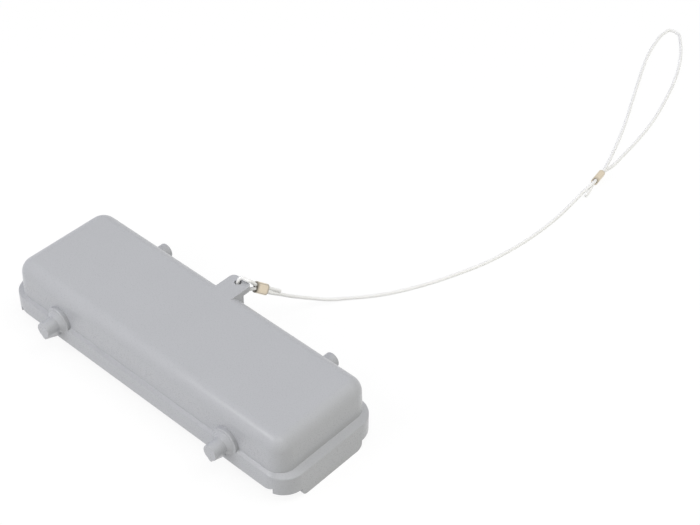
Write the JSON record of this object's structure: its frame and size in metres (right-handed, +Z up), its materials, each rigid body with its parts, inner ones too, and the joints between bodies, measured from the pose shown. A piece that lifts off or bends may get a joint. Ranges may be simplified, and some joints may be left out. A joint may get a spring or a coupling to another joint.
{
  "type": "heavy-duty connector cover",
  "caption": "Oblong protective cover for a heavy-duty connector: a hollow drafted cap with keeled locking pegs on its long sides and a crimped cord loop on a tab.",
  "frame": {"origin": "middle of the cover at the plane of its rim, where the end skirts stand", "axes": "+X along the cover's length, +Y towards the cord tab, +Z up through the closed top"},
  "size_m": [0.126, 0.3005, 0.0253],
  "materials": {
    "cover_plastic": "satin moulded plastic, light grey",
    "cord_white": "satin white cord",
    "ferrule_metal": "satin pale brass"
  },
  "bodies": {
    "root": {"cover": "cover_plastic", "cord": "cord_white", "near_ferrule": "ferrule_metal", "far_ferrule": "ferrule_metal"}
  },
  "joints": []
}
